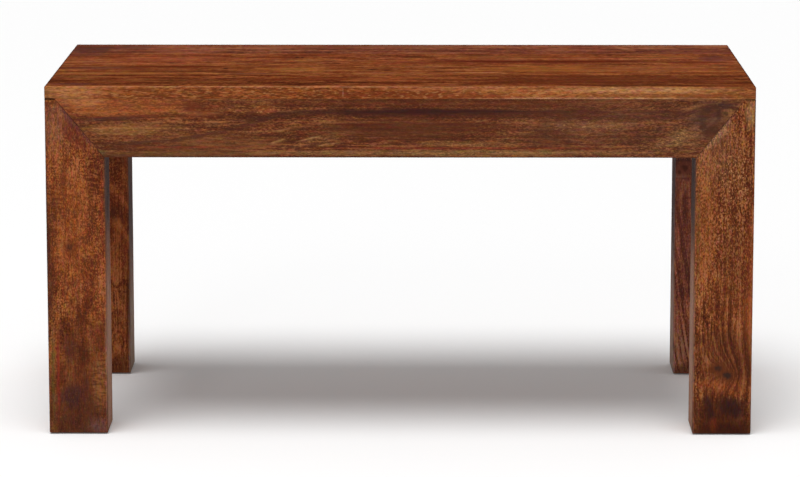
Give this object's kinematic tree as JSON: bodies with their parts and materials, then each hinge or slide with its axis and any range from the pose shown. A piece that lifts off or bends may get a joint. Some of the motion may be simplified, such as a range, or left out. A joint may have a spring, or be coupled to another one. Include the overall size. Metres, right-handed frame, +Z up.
{
  "type": "backless bench",
  "caption": "Low backless wooden bench with a flush plank seat, chunky square legs and rails mitred over the leg tops.",
  "frame": {"origin": "on the floor under the middle of the bench", "axes": "+X along the length, to the right seen from the front; -Y faces the front; +Z up"},
  "size_m": [0.9, 0.45, 0.45],
  "materials": {
    "seat_wood": "satin",
    "frame_wood": "satin",
    "inner_wood": "matt, planed",
    "dowel_wood": "matt",
    "glide_plastic": "matt",
    "screw_steel": "zinc plated"
  },
  "bodies": {
    "root": {"top_board_front": "seat_wood", "top_board_front_middle": "seat_wood", "top_board_rear_middle": "seat_wood", "top_board_rear": "seat_wood", "leg_front_left": "frame_wood", "leg_front_right": "frame_wood", "leg_rear_left": "frame_wood", "leg_rear_right": "frame_wood", "rail_front": "frame_wood", "rail_rear": "frame_wood", "rail_left": "frame_wood", "rail_right": "frame_wood", "centre_bearer": "inner_wood", "corner_brace_front_left": "inner_wood", "corner_brace_front_right": "inner_wood", "corner_brace_rear_left": "inner_wood", "corner_brace_rear_right": "inner_wood", "cleat_front_left": "inner_wood", "cleat_front_right": "inner_wood", "cleat_rear_left": "inner_wood", "cleat_rear_right": "inner_wood", "cleat_left_end": "inner_wood", "cleat_right_end": "inner_wood", "rail_dowels_front_left": "dowel_wood", "rail_dowels_front_right": "dowel_wood", "rail_dowels_rear_left": "dowel_wood", "rail_dowels_rear_right": "dowel_wood", "foot_glide_front_left": "glide_plastic", "foot_glide_front_right": "glide_plastic", "foot_glide_rear_left": "glide_plastic", "foot_glide_rear_right": "glide_plastic", "brace_rail_screws": "screw_steel", "brace_leg_screws": "screw_steel", "cleat_rail_screws": "screw_steel", "top_screws": "screw_steel", "glide_screws": "screw_steel"}
  },
  "joints": []
}
